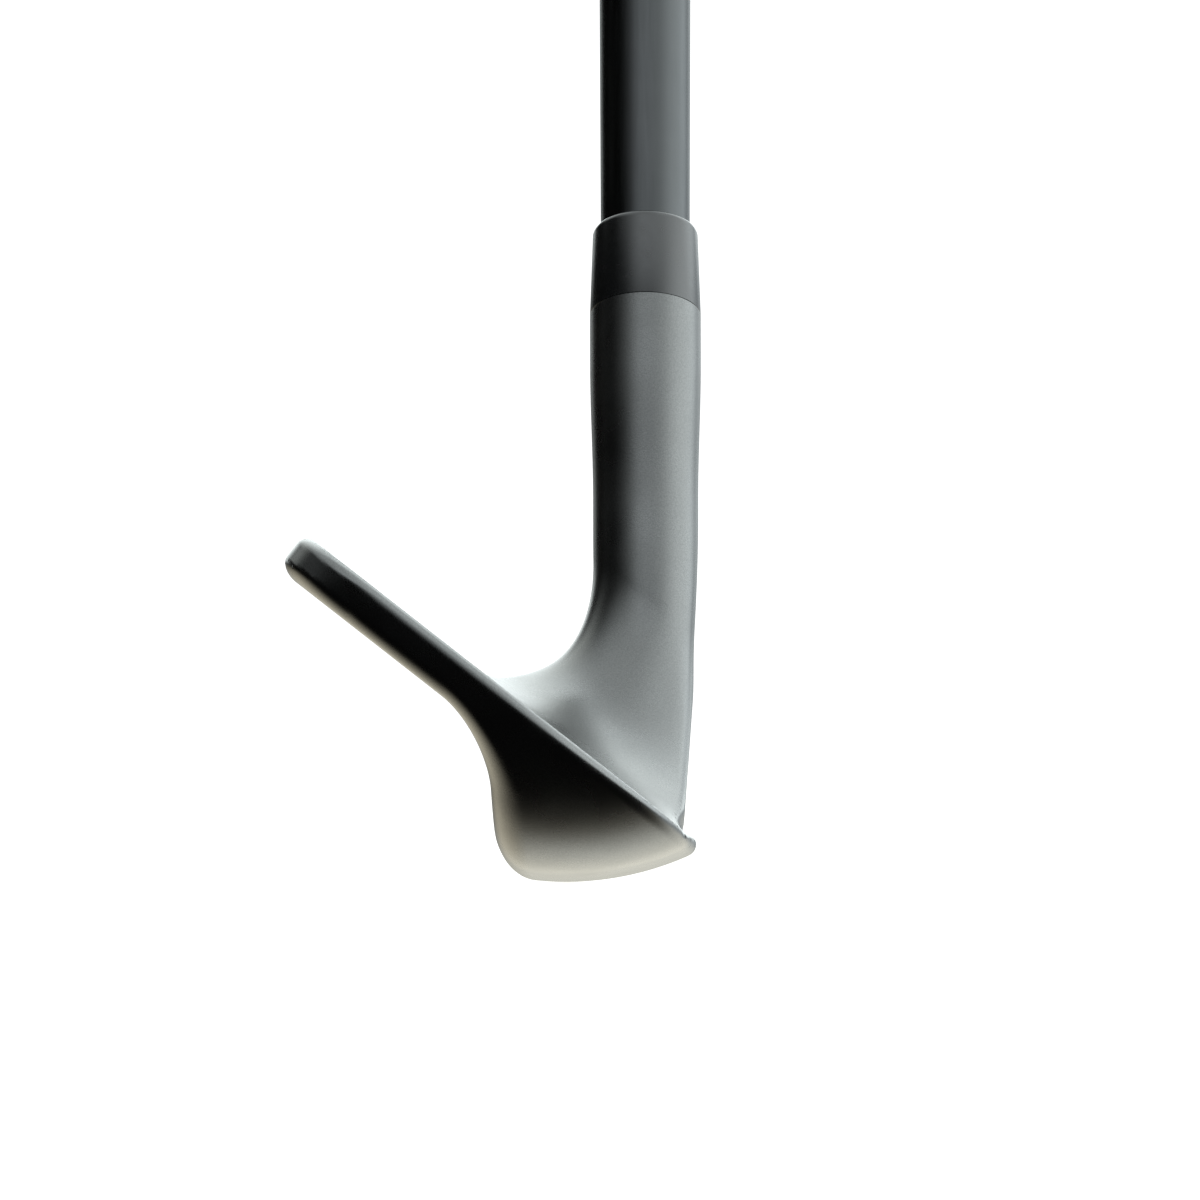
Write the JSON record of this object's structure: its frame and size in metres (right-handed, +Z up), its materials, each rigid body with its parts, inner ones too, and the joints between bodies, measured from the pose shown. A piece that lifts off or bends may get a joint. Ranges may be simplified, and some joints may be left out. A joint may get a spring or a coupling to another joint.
{
  "type": "iron golf club",
  "caption": "Right-handed gap wedge with a blasted steel blade head and bored hosel, black ferrule, dark tubular steel shaft and rubber grip.",
  "frame": {"origin": "where the sole touches the ground at address", "axes": "+X towards the target, +Y from toe to heel, +Z up; the shaft leans towards +Y by 25.5 degrees from upright"},
  "size_m": [0.0569, 0.479, 0.82],
  "materials": {
    "head_steel": "satin, bead-blasted",
    "shaft_steel": "dark satin plating",
    "ferrule_plastic": "polished black",
    "epoxy": "cured",
    "brass": "turned",
    "cork": "raw",
    "tape": "paper",
    "grip_rubber": "matt"
  },
  "bodies": {
    "root": {"head": "head_steel", "hosel_epoxy": "epoxy", "ferrule": "ferrule_plastic", "shaft": "shaft_steel", "tip_weight": "brass", "tip_plug": "cork", "grip_tape": "tape", "grip": "grip_rubber", "grip_cap": "grip_rubber"}
  },
  "joints": []
}
